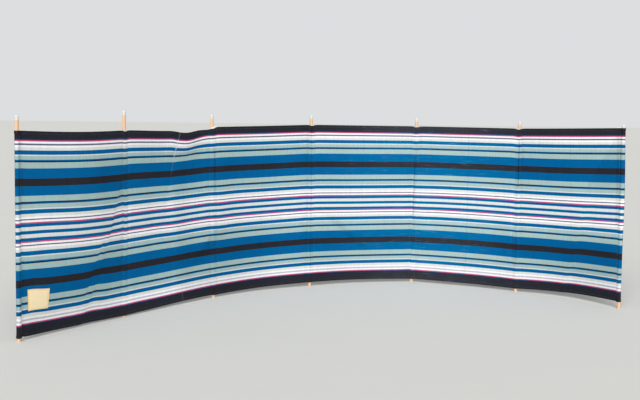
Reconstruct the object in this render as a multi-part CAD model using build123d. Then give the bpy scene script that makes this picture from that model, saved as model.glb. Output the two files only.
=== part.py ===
from build123d import *
import os
from dataclasses import dataclass
from math import acos, cos, degrees, pi, radians, sin, tan

# A beach windbreak: one long striped cloth that stands on edge, in six bays between seven
# round poles. The poles are pushed into the ground and modelled from ground level up.
# Millimetres, +Z up. The origin is the middle of pole 4's foot, +X runs to the right as seen
# from the sheltered side, and -Y points out of the sheltered side.

# The cloth
CLOTH_HEIGHT = 1250.0
CLOTH_THICKNESS = 1.5
HEM_WIDTH = 18.0
BAY_LENGTH = 875.0
CLOTH_STATIONS = 7

# The poles
POLE_DIAMETER = 25.0
GROUND_ALLOWANCE = 20.0

# The pockets that hold the poles
POCKET_WIDTH = 50.0
POCKET_RISE = 7.0
SEAM_ALLOWANCE = 6.0
POCKET_STATIONS = 3
SLEEVE_SEAM = 36.0

# The caps on the poles
CAP_LENGTH = 30.0
CAP_RIM_LENGTH = 8.0
CAP_NECK_DIAMETER = 21.0
CAP_NECK_LENGTH = 5.0
SPIGOT_DIAMETER = 17.0
SPIGOT_LENGTH = 18.0

# The patch sewn on the first bay
PATCH_WIDTH = 150.0
PATCH_HEIGHT = 130.0
PATCH_THICKNESS = 1.0
PATCH_FROM_POLE = 72.0
PATCH_ABOVE_EDGE = 148.0
PATCH_STATIONS = 3

# Clearances
POLE_CLEARANCE = 0.5
CLOTH_CLEARANCE = 0.3
CAP_CLEARANCE = 0.15


@dataclass(frozen=True)
class Bay:
    """One bay of cloth: the way it runs, in degrees from +X, and how it billows.

    A belly is positive towards the sheltered side. Its peak is a share of the bay's length.
    """

    heading: float
    belly_bottom: float
    belly_middle: float
    belly_top: float
    peak: float
    top_sag: float = 0.0


@dataclass(frozen=True)
class Stand:
    """How one pole stands: its lean towards +X, the cloth's height above the ground there,
    and how far the pole and its cap stand out above the cloth."""

    lean: float
    cloth_gap: float
    stick_out: float


BAYS = (
    Bay(heading=56.0, belly_bottom=-15.0, belly_middle=60.0, belly_top=35.0, peak=0.50, top_sag=8.0),
    Bay(heading=52.5, belly_bottom=-10.0, belly_middle=-60.0, belly_top=-75.0, peak=0.62, top_sag=20.0),
    Bay(heading=35.0, belly_bottom=-50.0, belly_middle=-20.0, belly_top=20.0, peak=0.50),
    Bay(heading=17.0, belly_bottom=-50.0, belly_middle=5.0, belly_top=15.0, peak=0.46),
    Bay(heading=-26.0, belly_bottom=-25.0, belly_middle=-40.0, belly_top=-10.0, peak=0.54),
    Bay(heading=-44.0, belly_bottom=-95.0, belly_middle=-5.0, belly_top=40.0, peak=0.46),
)

STANDS = (
    Stand(lean=0.5, cloth_gap=24.0, stick_out=97.0),
    Stand(lean=0.6, cloth_gap=12.0, stick_out=135.0),
    Stand(lean=-0.45, cloth_gap=23.0, stick_out=94.0),
    Stand(lean=0.0, cloth_gap=36.0, stick_out=80.0),
    Stand(lean=0.8, cloth_gap=28.0, stick_out=70.0),
    Stand(lean=-0.3, cloth_gap=28.0, stick_out=60.0),
    Stand(lean=-0.8, cloth_gap=54.0, stick_out=29.0),
)

MIDDLE_POLE = len(STANDS) // 2
POLE_RADIUS = POLE_DIAMETER / 2
UP = Vector(0, 0, 1)


def bay_direction(bay):
    """Level unit vector along a bay, from left to right."""
    heading = radians(BAYS[bay].heading)
    return Vector(cos(heading), sin(heading), 0)


def bay_front(bay):
    """Level unit vector out of a bay, towards the sheltered side."""
    along = bay_direction(bay)
    return Vector(along.Y, -along.X, 0)


def pole_front(pole):
    """Level unit vector out of the cloth at an inner pole, halfway between its two bays."""
    return (bay_front(pole - 1) + bay_front(pole)).normalized()


def half_turn(pole):
    """Half the angle that the cloth turns through at an inner pole, in radians."""
    return acos(min(1.0, bay_front(pole).dot(pole_front(pole))))


def pole_foot(pole):
    """The middle of a pole's foot, reached by walking along the bays from the middle pole."""
    foot = Vector(0, 0, 0)
    for bay in range(MIDDLE_POLE, pole):
        foot += bay_direction(bay) * BAY_LENGTH
    for bay in range(pole, MIDDLE_POLE):
        foot -= bay_direction(bay) * BAY_LENGTH
    return foot


def pole_rise(pole):
    """How a pole's axis moves for each millimetre of height."""
    return Vector(tan(radians(STANDS[pole].lean)), 0, 1)


def pole_point(pole, height):
    """The point of a pole's axis at a height above the ground."""
    return pole_foot(pole) + pole_rise(pole) * height


def cloth_start(bay):
    """Level offset from a bay's left pole to the edge of its cloth's sheltered face."""
    if bay == 0:
        return bay_direction(bay) * SLEEVE_SEAM + bay_front(bay) * CLOTH_THICKNESS / 2
    return pole_front(bay) * cloth_standoff()


def cloth_end(bay):
    """Level offset from a bay's right pole to the edge of its cloth's sheltered face."""
    if bay == len(BAYS) - 1:
        return bay_direction(bay) * -SLEEVE_SEAM + bay_front(bay) * CLOTH_THICKNESS / 2
    return pole_front(bay + 1) * cloth_standoff()


def cloth_standoff():
    """Distance from an inner pole's axis to the sheltered face, with the two-ply hem between."""
    return POLE_RADIUS + POLE_CLEARANCE + 2 * CLOTH_THICKNESS


def depth_vector(bay, share):
    """Way through the cloth, a unit deep: mitred at an inner pole, square everywhere else."""
    if share == 0 and bay > 0:
        return pole_front(bay) * (-1 / cos(half_turn(bay)))
    if share == 1 and bay < len(BAYS) - 1:
        return pole_front(bay + 1) * (-1 / cos(half_turn(bay + 1)))
    return -bay_front(bay)


def arch(bay, share):
    """Belly's share of its full depth, from none at the poles to all at the peak."""
    peak = BAYS[bay].peak
    lead = (0.5 - peak) / (peak * (1 - peak))
    return sin(pi * (share + lead * share * (1 - share)))


def belly(bay, rise):
    """Depth of a bay's belly at a share of the cloth's height: a parabola up the cloth."""
    low = BAYS[bay].belly_bottom
    middle = BAYS[bay].belly_middle
    high = BAYS[bay].belly_top
    return low + (4 * middle - 3 * low - high) * rise + 2 * (low - 2 * middle + high) * rise**2


def cloth_point(bay, share, rise, depth=0.0):
    """A point of a bay's cloth.

    share runs from its left pole to its right one, rise from its bottom edge to its top edge,
    and depth goes back from the sheltered face.
    """
    left_gap = STANDS[bay].cloth_gap
    right_gap = STANDS[bay + 1].cloth_gap
    drop = BAYS[bay].top_sag * arch(bay, share) * rise
    height = left_gap + (right_gap - left_gap) * share + CLOTH_HEIGHT * rise - drop
    left = pole_point(bay, height) + cloth_start(bay)
    right = pole_point(bay + 1, height) + cloth_end(bay)
    billow = bay_front(bay) * (belly(bay, rise) * arch(bay, share))
    return left + (right - left) * share + billow + depth_vector(bay, share) * depth


def upright_curve(bay, share, rise_from, rise_to, depth):
    """The curve that the cloth follows between two shares of its height."""
    start = cloth_point(bay, share, rise_from, depth)
    middle = cloth_point(bay, share, (rise_from + rise_to) / 2, depth)
    end = cloth_point(bay, share, rise_to, depth)
    return Edge.make_bezier(start, middle * 2 - (start + end) * 0.5, end)


def upright_section(bay, share, corners):
    """Closed section of cloth at a share of its bay, through (rise, depth) corners in turn."""
    edges = []
    for (rise_from, depth_from), (rise_to, depth_to) in zip(corners, corners[1:] + corners[:1]):
        if depth_from == depth_to:
            edges.append(upright_curve(bay, share, rise_from, rise_to, depth_from))
        else:
            start = cloth_point(bay, share, rise_from, depth_from)
            edges.append(Edge.make_line(start, cloth_point(bay, share, rise_to, depth_to)))
    return Wire(edges)


def even_shares(first, last, count):
    """Shares from first to last, in even steps."""
    return [first + (last - first) * step / (count - 1) for step in range(count)]


def cloth_bay(bay):
    """The cloth of one bay, with its top and bottom edges turned over to the back as hems."""
    single = CLOTH_THICKNESS
    double = 2 * CLOTH_THICKNESS
    hem = HEM_WIDTH / CLOTH_HEIGHT
    corners = [
        (0.0, 0.0),
        (1.0, 0.0),
        (1.0, double),
        (1.0 - hem, double),
        (1.0 - hem, single),
        (hem, single),
        (hem, double),
        (0.0, double),
    ]
    shares = even_shares(0, 1, CLOTH_STATIONS)
    return Solid.make_loft([upright_section(bay, share, corners) for share in shares])


def label_patch():
    """The plain patch sewn low on the sheltered face of the first bay."""
    first = (PATCH_FROM_POLE - SLEEVE_SEAM) / BAY_LENGTH
    low = PATCH_ABOVE_EDGE / CLOTH_HEIGHT
    high = (PATCH_ABOVE_EDGE + PATCH_HEIGHT) / CLOTH_HEIGHT
    back = -CLOTH_CLEARANCE
    front = back - PATCH_THICKNESS
    corners = [(low, front), (high, front), (high, back), (low, back)]
    shares = even_shares(first, first + PATCH_WIDTH / BAY_LENGTH, PATCH_STATIONS)
    return Solid.make_loft([upright_section(0, share, corners) for share in shares])


def touch_direction(centre, radius, outside, turn):
    """Unit vector from a circle's centre to where the line from an outside point touches it."""
    span = outside - centre
    swing = degrees(acos(radius / span.length)) * turn
    return span.normalized().rotate(Axis.Z, swing)


def line_crossing(first, first_way, second, second_way):
    """Where two level lines cross, each given by a point and the way it runs."""
    steps = (second - first).cross(second_way).Z / first_way.cross(second_way).Z
    return first + first_way * steps


def strip_leg(centre, seam, edge, turn):
    """One leg of a strip round a pole, as its inner and outer points in plan.

    A leg runs from the strip's free edge, over the seam, to where it touches the pole's tube.
    """
    radius = POLE_RADIUS + POLE_CLEARANCE
    outward = touch_direction(centre, radius, seam, turn)
    touch = centre + outward * radius
    outer_touch = touch + outward * CLOTH_THICKNESS
    along = edge - seam
    lift = UP.cross(along).normalized() * CLOTH_THICKNESS
    if lift.dot(outward) < 0:
        lift = -lift
    outer_seam = line_crossing(seam + lift, along, outer_touch, touch - seam)
    return [edge, seam, touch], [edge + lift, outer_seam, outer_touch]


def butted_leg(centre, seam, face_way, turn):
    """One leg of a strip that ends butted against a face which runs in the given direction."""
    radius = POLE_RADIUS + POLE_CLEARANCE
    outward = touch_direction(centre, radius, seam, turn)
    touch = centre + outward * radius
    outer_touch = touch + outward * CLOTH_THICKNESS
    outer_seam = line_crossing(seam, face_way, outer_touch, touch - seam)
    return [seam, touch], [outer_seam, outer_touch]


def strip_outline(centre, crown_way, first_leg, last_leg):
    """Closed outline in plan of a strip of cloth that goes round a pole between two legs."""
    radius = POLE_RADIUS + POLE_CLEARANCE
    first_inner, first_outer = first_leg
    last_inner, last_outer = last_leg
    crown = centre + crown_way * radius
    outer_crown = centre + crown_way * (radius + CLOTH_THICKNESS)
    there = last_inner[::-1] + last_outer
    back = first_outer[::-1] + first_inner
    return Wire(
        [
            Edge.make_three_point_arc(first_inner[-1], crown, last_inner[-1]),
            *[Edge.make_line(start, end) for start, end in zip(there, there[1:])],
            Edge.make_three_point_arc(last_outer[-1], outer_crown, first_outer[-1]),
            *[Edge.make_line(start, end) for start, end in zip(back, back[1:])],
        ]
    )


def level_with(point, centre):
    """A point moved up or down to the level of a section's centre."""
    return Vector(point.X, point.Y, centre.Z)


def pocket_section(pole, rise):
    """Section of an inner pole's pocket, at a share of the cloth's height."""
    left = pole - 1
    behind = 2 * CLOTH_THICKNESS + CLOTH_CLEARANCE
    seam = POCKET_WIDTH / 2 / BAY_LENGTH
    edge = seam + SEAM_ALLOWANCE / BAY_LENGTH
    centre = pole_point(pole, STANDS[pole].cloth_gap + CLOTH_HEIGHT * rise)
    left_seam = level_with(cloth_point(left, 1 - seam, rise, behind), centre)
    left_edge = level_with(cloth_point(left, 1 - edge, rise, behind), centre)
    right_seam = level_with(cloth_point(pole, seam, rise, behind), centre)
    right_edge = level_with(cloth_point(pole, edge, rise, behind), centre)
    left_leg = strip_leg(centre, left_seam, left_edge, -1)
    right_leg = strip_leg(centre, right_seam, right_edge, 1)
    return strip_outline(centre, -pole_front(pole), left_leg, right_leg)


def pole_pocket(pole):
    """The strip sewn down the back of the cloth to hold an inner pole."""
    top = 1 + POCKET_RISE / CLOTH_HEIGHT
    sections = [pocket_section(pole, rise) for rise in even_shares(0, top, POCKET_STATIONS)]
    return Solid.make_loft(sections)


def make_pole(pole):
    """A round wooden pole, cut level at the ground, with a spigot at its top for the cap."""
    shoulder = shoulder_height(pole)
    shaft = Cylinder(POLE_RADIUS, shoulder + GROUND_ALLOWANCE, align=(Align.CENTER, Align.CENTER, Align.MIN))
    spigot = Cylinder(SPIGOT_DIAMETER / 2, SPIGOT_LENGTH, align=(Align.CENTER, Align.CENTER, Align.MIN))
    solid = Pos(0, 0, -GROUND_ALLOWANCE) * shaft + Pos(0, 0, shoulder) * spigot
    return split(pole_location(pole) * solid, bisect_by=Plane.XY, keep=Keep.TOP)


def shoulder_height(pole):
    """Length of a pole along its axis, from the ground to the shoulder under its cap."""
    stand = STANDS[pole]
    return (stand.cloth_gap + CLOTH_HEIGHT + stand.stick_out) / cos(radians(stand.lean)) - CAP_LENGTH


def pole_location(pole):
    """Where a pole's own axis stands, with its lean."""
    return Pos(*pole_foot(pole)) * Rot(0, STANDS[pole].lean, 0)


def pole_cap(pole):
    """A moulded cap with a neck for a cord and a round head, pushed over the pole's spigot."""
    neck_top = CAP_RIM_LENGTH + CAP_NECK_LENGTH
    head = CAP_LENGTH - POLE_RADIUS
    bore = SPIGOT_DIAMETER / 2 + CAP_CLEARANCE
    depth = SPIGOT_LENGTH + CAP_CLEARANCE
    outline = Polyline(
        (0, depth),
        (bore, depth),
        (bore, 0),
        (POLE_RADIUS, 0),
        (POLE_RADIUS, CAP_RIM_LENGTH),
        (CAP_NECK_DIAMETER / 2, CAP_RIM_LENGTH + CAP_NECK_LENGTH / 2),
        (POLE_RADIUS, neck_top),
        (POLE_RADIUS, head),
    )
    dome = CenterArc((0, head), POLE_RADIUS, 0, 90)
    axis = Line((0, CAP_LENGTH), (0, depth))
    profile = Plane.XZ * make_face(outline + dome + axis)
    return pole_location(pole) * Pos(0, 0, shoulder_height(pole)) * revolve(profile, Axis.Z)


def sleeve_section(pole, rise):
    """Section of an end sleeve, at a share of the cloth's height."""
    at_left = pole == 0
    bay = 0 if at_left else len(BAYS) - 1
    turn = 1 if at_left else -1
    inward = bay_direction(bay) * turn
    centre = pole_point(pole, STANDS[pole].cloth_gap + CLOTH_HEIGHT * rise)
    behind = 2 * CLOTH_THICKNESS + CLOTH_CLEARANCE
    end = 0 if at_left else 1
    edge = end + turn * SEAM_ALLOWANCE / BAY_LENGTH
    front_seam = level_with(cloth_point(bay, end, rise, CLOTH_THICKNESS), centre)
    back_seam = level_with(cloth_point(bay, end, rise, behind), centre)
    back_edge = level_with(cloth_point(bay, edge, rise, behind), centre)
    front_leg = butted_leg(centre, front_seam, bay_front(bay), -turn)
    back_leg = strip_leg(centre, back_seam, back_edge, turn)
    return strip_outline(centre, -inward, front_leg, back_leg)


def end_sleeve(pole):
    """The end of the cloth, turned round an end pole and sewn down on its own back."""
    return Solid.make_loft([sleeve_section(pole, rise) for rise in even_shares(0, 1, POCKET_STATIONS)])


def build_nodes():
    """Every piece of the windbreak, by name."""
    nodes = {}
    for pole in range(len(STANDS)):
        nodes[f"pole_{pole + 1}"] = make_pole(pole)
        nodes[f"pole_cap_{pole + 1}"] = pole_cap(pole)
    for bay in range(len(BAYS)):
        nodes[f"cloth_bay_{bay + 1}"] = cloth_bay(bay)
    for pole in range(1, len(STANDS) - 1):
        nodes[f"pole_pocket_{pole + 1}"] = pole_pocket(pole)
    nodes["end_sleeve_left"] = end_sleeve(0)
    nodes["end_sleeve_right"] = end_sleeve(len(STANDS) - 1)
    nodes["label_patch"] = label_patch()
    return nodes


os.makedirs("parts", exist_ok=True)
for name, solid in build_nodes().items():
    export_step(solid, f"parts/{name}.step")
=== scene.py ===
"""A beach windbreak: one long striped cloth on seven round poles, dressed over its CAD model.

Metres, +Z up. The origin is the middle of the fourth pole's foot, +X runs to the right as seen from
the sheltered side, and -Y points out of the sheltered side. Poles and bays count from 0 at the left.
"""

import logging
import math
from collections.abc import Callable
from dataclasses import dataclass
from enum import Enum
from functools import cached_property

import bpy
import numpy as np
from bpy.types import ColorRamp, Material, NodeSocket, NodeTree, Object
from mathutils import Matrix, Quaternion, Vector


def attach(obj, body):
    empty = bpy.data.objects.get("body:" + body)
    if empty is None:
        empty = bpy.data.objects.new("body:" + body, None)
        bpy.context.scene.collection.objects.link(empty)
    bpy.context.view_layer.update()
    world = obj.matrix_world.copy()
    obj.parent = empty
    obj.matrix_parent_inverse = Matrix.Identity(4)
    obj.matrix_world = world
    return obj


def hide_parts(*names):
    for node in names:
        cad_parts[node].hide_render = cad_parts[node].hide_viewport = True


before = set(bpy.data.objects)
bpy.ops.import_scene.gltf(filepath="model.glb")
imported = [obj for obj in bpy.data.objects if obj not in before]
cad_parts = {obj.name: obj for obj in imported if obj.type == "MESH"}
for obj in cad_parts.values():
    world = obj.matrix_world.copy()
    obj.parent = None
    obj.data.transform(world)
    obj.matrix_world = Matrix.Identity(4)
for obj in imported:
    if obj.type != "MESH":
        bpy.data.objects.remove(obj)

log = logging.getLogger("windbreak")

ROOT = "root"
CLOTH_MAP = "cloth"
TAU = 2 * math.pi
TINY = 1e-6

Array = np.ndarray
Color = tuple[float, float, float, float]
Ease = tuple[float, ...]
Run = tuple[Array, Array]


class Slot(Enum):
    """The record's material slots."""

    CLOTH = "striped_cloth"
    POCKET = "pocket_cloth"
    SLEEVE = "sleeve_cloth"
    PATCH = "patch_cloth"


class End(Enum):
    """The two ends of the cloth, by the way that their bay runs away from the pole."""

    LEFT = 1
    RIGHT = -1


class Crest(Enum):
    """How a fold is shaped across its line."""

    SHARP = 1
    ROUND = 2


@dataclass(frozen=True)
class Bay:
    """One bay of cloth: its heading in degrees from +X, and how it billows.

    A belly is positive towards the sheltered side. Its peak is a share of the bay's length.
    """

    heading: float
    belly_bottom: float
    belly_middle: float
    belly_top: float
    peak: float
    top_sag: float = 0.0


@dataclass(frozen=True)
class Stand:
    """How one pole stands: its lean towards +X in degrees and the cloth's height above the ground."""

    lean: float
    cloth_gap: float


@dataclass(frozen=True)
class Fold:
    """A fold or pull in the cloth of one bay.

    It crosses the height `rise` at `share`, leans by `slant` of a share for each share of height,
    reaches `reach` of the height up and down, and fades over `left` and `right` metres. It moves
    the cloth `out` towards the sheltered side and `up` along its own face.
    """

    bay: int
    share: float
    rise: float
    reach: float
    left: float
    right: float
    out: float = 0.0
    up: float = 0.0
    slant: float = 0.0
    crest: Crest = Crest.ROUND

    def weight(self, share: Array, rise: Array, length: float) -> Array:
        """How strongly the fold acts at places of its bay.

        Args:
            share: Shares of the bay's length.
            rise: Shares of the cloth's height.
            length: The bay's length in metres.

        Returns:
            Weights from 0 to 1.
        """
        off = (share - self.share - self.slant * (rise - self.rise)) * length
        near = np.abs(off) / np.where(off < 0, self.left, self.right)
        across = np.exp(-near) if self.crest is Crest.SHARP else np.exp(-near * near)
        return across * np.exp(-(((rise - self.rise) / self.reach) ** 4))


BAYS = (
    Bay(56.0, -0.015, 0.060, 0.035, 0.50, 0.008),
    Bay(52.5, -0.010, -0.060, -0.075, 0.62, 0.020),
    Bay(35.0, -0.050, -0.020, 0.020, 0.50),
    Bay(17.0, -0.050, 0.005, 0.015, 0.46),
    Bay(-26.0, -0.025, -0.040, -0.010, 0.54),
    Bay(-44.0, -0.095, -0.005, 0.040, 0.46),
)

STANDS = (
    Stand(0.5, 0.024),
    Stand(0.6, 0.012),
    Stand(-0.45, 0.023),
    Stand(0.0, 0.036),
    Stand(0.8, 0.028),
    Stand(-0.3, 0.028),
    Stand(-0.8, 0.054),
)

FOLDS = (
    Fold(0, 0.76, 0.40, 0.45, 0.220, 0.012, out=0.003, up=-0.005, slant=0.53, crest=Crest.SHARP),
    Fold(0, 0.66, 0.30, 0.16, 0.012, 0.100, out=-0.002, up=0.008, slant=0.53, crest=Crest.SHARP),
    Fold(0, 0.985, 0.55, 0.12, 0.050, 0.010, out=0.003, up=0.004),
    Fold(0, 0.18, 0.54, 0.17, 0.160, 0.200, up=0.0045),
    Fold(0, 0.09, 0.19, 0.14, 0.060, 0.070, up=0.006),
    Fold(0, 0.76, 0.27, 0.08, 0.100, 0.080, up=0.0035),
    Fold(0, 0.67, 0.16, 0.13, 0.100, 0.060, up=0.0055),
    Fold(1, 0.50, 0.10, 0.22, 0.280, 0.280, up=-0.004),
    Fold(1, 0.60, 0.42, 0.14, 0.150, 0.150, up=-0.0045),
    Fold(1, 0.83, 0.86, 0.07, 0.070, 0.070, up=0.005),
    Fold(1, 0.595, 0.80, 0.24, 0.030, 0.040, out=-0.006, up=-0.004, slant=0.38, crest=Crest.SHARP),
    Fold(1, 0.74, 1.00, 0.13, 0.090, 0.110, out=0.025, up=-0.018),
    Fold(1, 0.955, 1.00, 0.022, 0.075, 0.040, up=-0.013),
    Fold(1, 0.62, 0.00, 0.030, 0.400, 0.360, up=0.0085),
    Fold(2, 0.06, 0.52, 0.30, 0.050, 0.080, up=-0.0038),
    Fold(3, 0.93, 0.45, 0.35, 0.100, 0.200, up=-0.0025),
    Fold(4, 0.07, 0.45, 0.35, 0.200, 0.100, up=-0.0025),
    Fold(5, 0.55, 0.72, 0.26, 0.330, 0.330, up=-0.003),
    Fold(5, 0.66, 0.30, 0.12, 0.110, 0.180, up=0.003),
    Fold(5, 0.55, 0.25, 0.30, 0.220, 0.020, out=0.003, up=-0.004, slant=0.50, crest=Crest.SHARP),
    Fold(5, 0.745, 0.715, 0.14, 0.012, 0.100, out=-0.002, slant=0.90, crest=Crest.SHARP),
)


@dataclass
class Row:
    """The windbreak's plan: where the poles stand and how the cloth runs between them."""

    cloth_height: float = 1.25
    bay_length: float = 0.875
    pole_radius: float = 0.0125
    pole_clearance: float = 0.0005
    ply: float = 0.0009
    standoff: float = 0.016
    sleeve_seams: tuple = (0.0128, 0.0150)
    sleeve_out: tuple = (0.0062, 0.0060)
    pocket_seam: float = 0.025
    ripple: float = 0.0016
    ripple_waves: tuple = ((0.31, 1.9), (0.47, -1.2), (0.19, 2.6), (0.7, 0.8))
    ripple_phases: tuple = (1.7, 2.4)
    pinch: float = 0.0025
    pinch_beside: float = 0.002
    pinch_reach: float = 0.014
    dip: float = 0.004
    dip_reach: float = 0.030
    dip_low: float = 0.35
    notches: tuple = (0.0, 0.005, 0.010, 0.005, 0.005, 0.005, 0.0)
    notch_reach: tuple = (0.017, 0.035)
    edge_lift: float = 0.0022
    edge_reach: float = 0.02
    end_step: float = 0.008
    end_power: float = 0.8
    end_reach: float = 0.018
    fold_stop: float = 30.0

    def __post_init__(self) -> None:
        """Works out each bay's directions and each pole's foot."""
        turns = np.radians([bay.heading for bay in BAYS])
        level = np.zeros_like(turns)
        self.along = np.stack([np.cos(turns), np.sin(turns), level], 1)
        self.front = np.stack([np.sin(turns), -np.cos(turns), level], 1)
        steps = np.vstack([np.zeros(3), np.cumsum(self.along * self.bay_length, 0)])
        self.feet = steps - steps[len(STANDS) // 2]
        self.last = len(BAYS) - 1
        self.tube_radius = self.pole_radius + self.pole_clearance + self.ply / 2

    def axis(self, pole: int, height: Array) -> Array:
        """Points of a pole's axis at heights above the ground."""
        lean = math.tan(math.radians(STANDS[pole].lean))
        return self.feet[pole] + np.asarray(height)[..., None] * np.array([lean, 0.0, 1.0])

    def pole_front(self, pole: int) -> Array:
        """Level unit vector out of the cloth at an inner pole."""
        both = self.front[pole - 1] + self.front[pole]
        return both / np.linalg.norm(both)

    def anchors(self, bay: int) -> tuple[Array, Array]:
        """How far a bay's cloth starts and ends from its two poles.

        Args:
            bay: Which bay.

        Returns:
            Level offsets from the left and the right pole.
        """
        start = self.along[bay] * self.sleeve_seams[0] + self.front[bay] * self.sleeve_out[0]
        end = -self.along[bay] * self.sleeve_seams[1] + self.front[bay] * self.sleeve_out[1]
        if bay > 0:
            start = self.pole_front(bay) * self.standoff
        if bay < self.last:
            end = self.pole_front(bay + 1) * self.standoff
        return start, end

    def ripples(self, bay: int, share: Array, rise: Array) -> Array:
        """Small soft waves of slack cloth.

        Args:
            bay: Which bay.
            share: Shares of the bay's length.
            rise: Shares of the cloth's height.

        Returns:
            Numbers from -1 to 1, none at the poles.
        """
        total = np.zeros_like(share + rise)
        for step, (long, tall) in enumerate(self.ripple_waves):
            phase = self.ripple_phases[0] * bay + self.ripple_phases[1] * step
            wave = share * self.bay_length / long + rise * self.cloth_height / tall
            total = total + np.sin(TAU * wave + phase) / len(self.ripple_waves)
        return total * np.sin(math.pi * share) ** 0.5

    def notch(self, pole: int, away: Array, rise: Array) -> Array:
        """How far the top edge is drawn down at a distance from an inner pole."""
        wide, tall = self.notch_reach
        return self.notches[pole] * np.exp(-((away / wide) ** 2) - ((1 - rise) / tall) ** 2)

    def pocket_pull(self, bay: int, share: Array, rise: Array) -> tuple[Array, Array]:
        """How the pockets' seams draw the cloth in, and how the cloth dips on the poles.

        Args:
            bay: Which bay.
            share: Shares of the bay's length.
            rise: Shares of the cloth's height.

        Returns:
            Moves towards the sheltered side and up.
        """
        out, up = np.zeros_like(share), np.zeros_like(share)
        for pole, off in ((bay, share), (bay + 1, 1 - share)):
            if 0 < pole <= self.last:
                away = off * self.bay_length
                beside = (away - self.pocket_seam - self.pinch_beside) / self.pinch_reach
                out = out - self.pinch * np.exp(-(beside**2))
                hung = self.dip_low + (1 - self.dip_low) * rise
                up = up - self.dip * np.exp(-((away / self.dip_reach) ** 2)) * hung
                up = up - self.notch(pole, away, rise)
        return out, up

    def billow(self, bay: int, share: Array, rise: Array) -> tuple[Array, Array]:
        """How a bay bellies out and its top edge sags.

        Args:
            bay: Which bay.
            share: Shares of the bay's length.
            rise: Shares of the cloth's height.

        Returns:
            Moves towards the sheltered side and down.
        """
        form = BAYS[bay]
        lead = (0.5 - form.peak) / (form.peak * (1 - form.peak))
        arch = np.sin(math.pi * (share + lead * share * (1 - share)))
        low, middle, high = form.belly_bottom, form.belly_middle, form.belly_top
        belly = low + (4 * middle - 3 * low - high) * rise + 2 * (low - 2 * middle + high) * rise**2
        return belly * arch, form.top_sag * arch * rise

    def cloth(self, bay: int, share: Array, rise: Array) -> Array:
        """Points of a bay's sheltered face, with its billow, ripples and folds.

        Args:
            bay: Which bay.
            share: Shares of the bay's length, from its left pole.
            rise: Shares of the cloth's height, from its bottom edge.

        Returns:
            An array of points, of the arguments' joint shape and 3.
        """
        share, rise = np.broadcast_arrays(np.asarray(share, float), np.asarray(rise, float))
        belly, sag = self.billow(bay, share, rise)
        gaps = STANDS[bay].cloth_gap, STANDS[bay + 1].cloth_gap
        height = gaps[0] + (gaps[1] - gaps[0]) * share + self.cloth_height * rise - sag
        out, up = self.pocket_pull(bay, share, rise)
        out = out + belly + self.ripple * self.ripples(bay, share, rise)
        up = up + self.edge_lift * np.exp(-(((1 - rise) / self.edge_reach) ** 2))
        if bay == 0:
            low = np.clip(1 - rise, 0, 1) ** self.end_power
            up = up + self.end_step * low * np.exp(-share * self.bay_length / self.end_reach)
        for fold in (fold for fold in FOLDS if fold.bay == bay):
            weight = fold.weight(share, rise, self.bay_length)
            weight = weight * np.minimum(1, np.minimum(share, 1 - share) * self.fold_stop)
            out = out + fold.out * weight
            up = up + fold.up * weight
        start, end = self.anchors(bay)
        left = self.axis(bay, height) + start
        right = self.axis(bay + 1, height) + end
        points = left + (right - left) * share[..., None] + self.front[bay] * out[..., None]
        points[..., 2] += up
        return points


def math_method(operation: str, reflected: bool = False) -> Callable[..., "Value"]:
    """Makes a method of Value that adds one Math node.

    Args:
        operation: The node's operation.
        reflected: Whether the other term comes first.

    Returns:
        The method.
    """

    def method(value: "Value", *others: "Value | float") -> "Value":
        """Adds the node on this value and the other terms."""
        return value.nodes.math(operation, *((*others, value) if reflected else (value, *others)))

    return method


class Value:
    """A shader socket that takes part in Python expressions.

    `below` is 1 where the value is under a limit and 0 elsewhere, and `smaller` and `larger` choose
    from two values.
    """

    __add__ = __radd__ = math_method("ADD")
    __sub__ = math_method("SUBTRACT")
    __rsub__ = math_method("SUBTRACT", reflected=True)
    __mul__ = __rmul__ = math_method("MULTIPLY")
    __truediv__ = math_method("DIVIDE")
    __abs__ = math_method("ABSOLUTE")
    below = math_method("LESS_THAN")
    smaller = math_method("MINIMUM")
    larger = math_method("MAXIMUM")

    def __init__(self, nodes: "Nodes", socket: NodeSocket) -> None:
        """Wraps a socket of a tree."""
        self.nodes = nodes
        self.socket = socket

    def ease(self, start: float, end: float, low: float = 0.0, high: float = 1.0) -> "Value":
        """This value mapped smoothly from one range to another."""
        ranges = {"Value": self, "From Min": start, "From Max": end, "To Min": low, "To Max": high}
        return self.nodes.node("MapRange", {"interpolation_type": "SMOOTHSTEP", "clamp": True}, ranges)

    def between(self, low: float, high: float, soft: float) -> "Value":
        """1 between two limits, eased to 0 about them."""
        return self.ease(low - soft, low + soft) * self.ease(high + soft, high - soft)


def rgb(red: int, green: int, blue: int) -> Color:
    """A colour written as on a screen, made linear."""
    parts = [x / 255 for x in (red, green, blue)]
    return (*[x / 12.92 if x <= 0.04045 else ((x + 0.055) / 1.055) ** 2.4 for x in parts], 1.0)


@dataclass(frozen=True)
class Grain:
    """A noise pattern: its cycles a metre along each axis, and how much it changes the light."""

    cycles: tuple[float, ...]
    detail: float = 2.0
    rough: float = 0.5
    weight: float = 0.0


def set_stops(ramp: ColorRamp, stops: list[tuple[float, Color]]) -> None:
    """Gives a ramp its colours, in steps.

    Args:
        ramp: The ramp.
        stops: Where each colour starts, from 0 to 1, and the colour.
    """
    ramp.interpolation = "CONSTANT"
    while len(ramp.elements) < len(stops):
        ramp.elements.new(1.0)
    for element, (place, color) in zip(ramp.elements, stops):
        element.position = place
        element.color = color


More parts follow.
